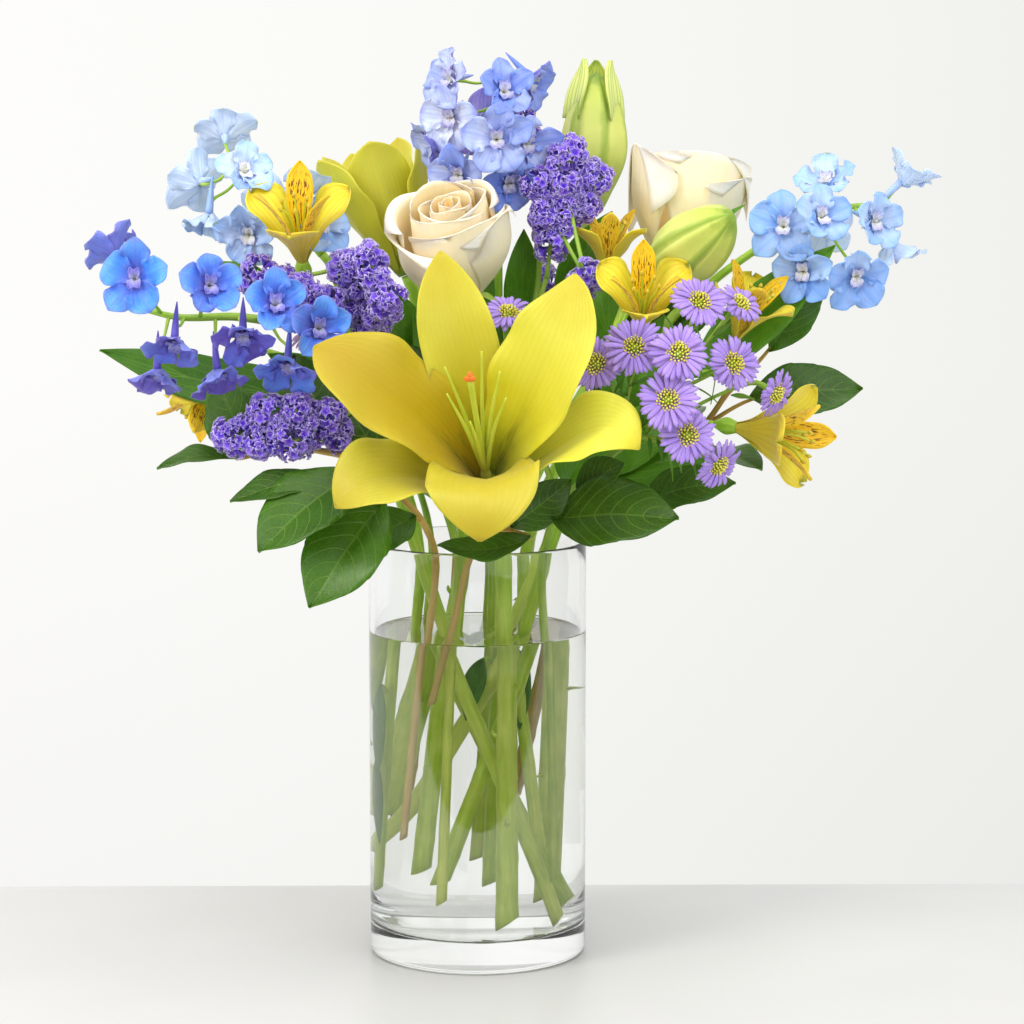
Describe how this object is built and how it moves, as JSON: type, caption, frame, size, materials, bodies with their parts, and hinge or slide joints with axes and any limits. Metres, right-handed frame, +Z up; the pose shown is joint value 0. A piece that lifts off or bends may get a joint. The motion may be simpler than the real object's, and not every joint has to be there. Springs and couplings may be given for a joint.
{
  "type": "flower bouquet in a glass vase",
  "caption": "Mixed cut flowers round a large open lily, with roses, delphinium, asters and leaves, in a clear cylinder vase of water.",
  "frame": {"origin": "middle of the vase's foot, on the surface it stands on", "axes": "+Z up along the vase, -Y towards the side that the large lily faces, +X to that viewer's right"},
  "size_m": [0.3952, 0.2365, 0.4265],
  "materials": {
    "vase_glass": "clear polished glass",
    "water": "clear still water",
    "lily_petals": "satin, thin and translucent",
    "lily_stamens": "satin",
    "lily_buds": "satin",
    "rose_petals": "soft matte",
    "delphinium_blue": "soft matte",
    "delphinium_pale": "soft matte",
    "statice_calyx": "dry and papery",
    "aster_rays": "soft matte",
    "alstroemeria_petals": "satin",
    "green_stem": "satin",
    "leaf": "satin, waxy"
  },
  "bodies": {
    "root": {"alstroemeria_left_bloom_a": "alstroemeria_petals", "alstroemeria_left_bloom_b": "alstroemeria_petals", "alstroemeria_left_stem": "green_stem", "alstroemeria_right_bloom_a": "alstroemeria_petals", "alstroemeria_right_bloom_b": "alstroemeria_petals", "alstroemeria_right_bloom_c": "alstroemeria_petals", "alstroemeria_right_bloom_d": "alstroemeria_petals", "alstroemeria_right_stem": "green_stem", "aster_back_heads_1": "aster_rays", "aster_back_heads_2": "aster_rays", "aster_back_stem": "green_stem", "aster_right_heads_1": "aster_rays", "aster_right_heads_10": "aster_rays", "aster_right_heads_11": "aster_rays", "aster_right_heads_2": "aster_rays", "aster_right_heads_3": "aster_rays", "aster_right_heads_4": "aster_rays", "aster_right_heads_5": "aster_rays", "aster_right_heads_6": "aster_rays", "aster_right_heads_7": "aster_rays", "aster_right_heads_8": "aster_rays", "aster_right_heads_9": "aster_rays", "aster_right_stem": "green_stem", "delphinium_left_florets": "delphinium_blue", "delphinium_left_stem": "green_stem", "delphinium_right_florets": "delphinium_pale", "delphinium_right_stem": "green_stem", "delphinium_top_florets": "delphinium_pale", "delphinium_top_stem": "green_stem", "delphinium_upper_left_florets": "delphinium_pale", "delphinium_upper_left_stem": "green_stem", "foliage_back": "leaf", "foliage_front": "leaf", "foliage_left": "leaf", "foliage_right": "leaf", "lily_back_bloom": "lily_petals", "lily_back_stamens": "lily_stamens", "lily_back_stem": "green_stem", "lily_bud_right": "lily_buds", "lily_bud_top": "lily_buds", "lily_front_bloom": "lily_petals", "lily_front_stamens": "lily_stamens", "lily_front_stem": "green_stem", "rose_left_bloom": "rose_petals", "rose_left_stem": "green_stem", "rose_right_bloom": "rose_petals", "rose_right_stem": "green_stem", "statice_back_left": "statice_calyx", "statice_back_right": "statice_calyx", "statice_back_stem": "green_stem", "statice_centre_stem": "green_stem", "statice_left_stem": "green_stem", "statice_lower": "statice_calyx", "statice_middle": "statice_calyx", "statice_rear": "statice_calyx", "statice_upper": "statice_calyx", "vase": "vase_glass", "water": "water"}
  },
  "joints": []
}
